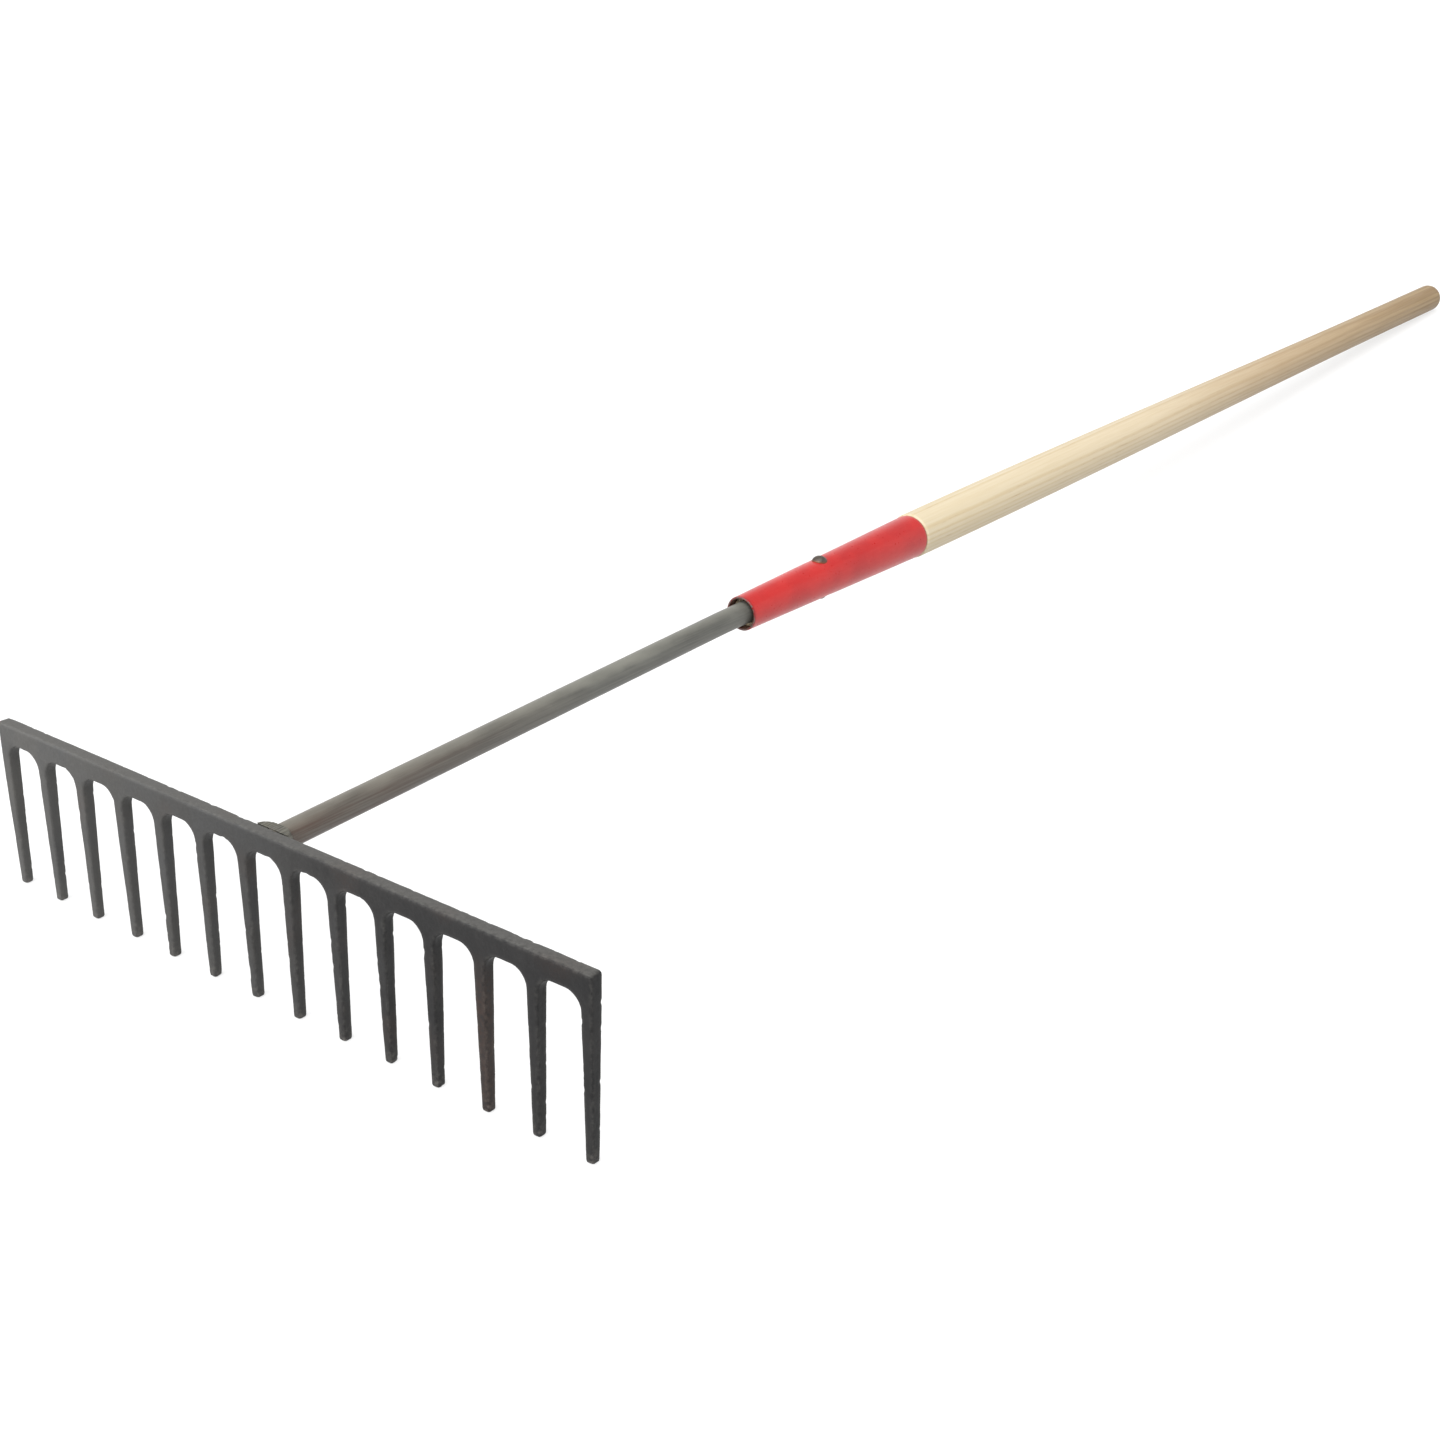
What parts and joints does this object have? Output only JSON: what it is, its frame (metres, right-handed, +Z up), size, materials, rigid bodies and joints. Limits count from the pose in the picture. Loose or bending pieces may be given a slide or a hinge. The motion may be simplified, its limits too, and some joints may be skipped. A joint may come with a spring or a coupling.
{
  "type": "level-head rake",
  "caption": "Level-head rake: a flat forged steel head with straight tines on a round steel shank, riveted through a tapered ferrule into a long turned wooden handle.",
  "frame": {"origin": "on the floor that the rake rests on, midway along its length between the tine tips and the free end of the handle, in the middle of the head's width", "axes": "+X along the head, +Y from the head to the free end of the handle, +Z up from the floor; the tines lean back from +Z by about 4 degrees because the handle's end rests on the same floor"},
  "size_m": [0.425, 1.4843, 0.098],
  "materials": {
    "head_steel": "forged steel under thin charcoal paint, matt to satin, scuffed on the edges and tine tips",
    "weld_steel": "rippled weld bead under the same charcoal paint",
    "shank_steel": "drawn grey steel rod, satin, with faint brown staining near the head",
    "ferrule_red": "glossy red enamel on sheet steel",
    "rivet_steel": "plain steel rivet, satin",
    "handle_wood": "pale ash, long straight grain, thin clear coat"
  },
  "bodies": {
    "root": {"rake_head": "head_steel", "head_weld": "weld_steel", "shank": "shank_steel", "ferrule": "ferrule_red", "ferrule_rivet": "rivet_steel", "handle": "handle_wood"}
  },
  "joints": []
}
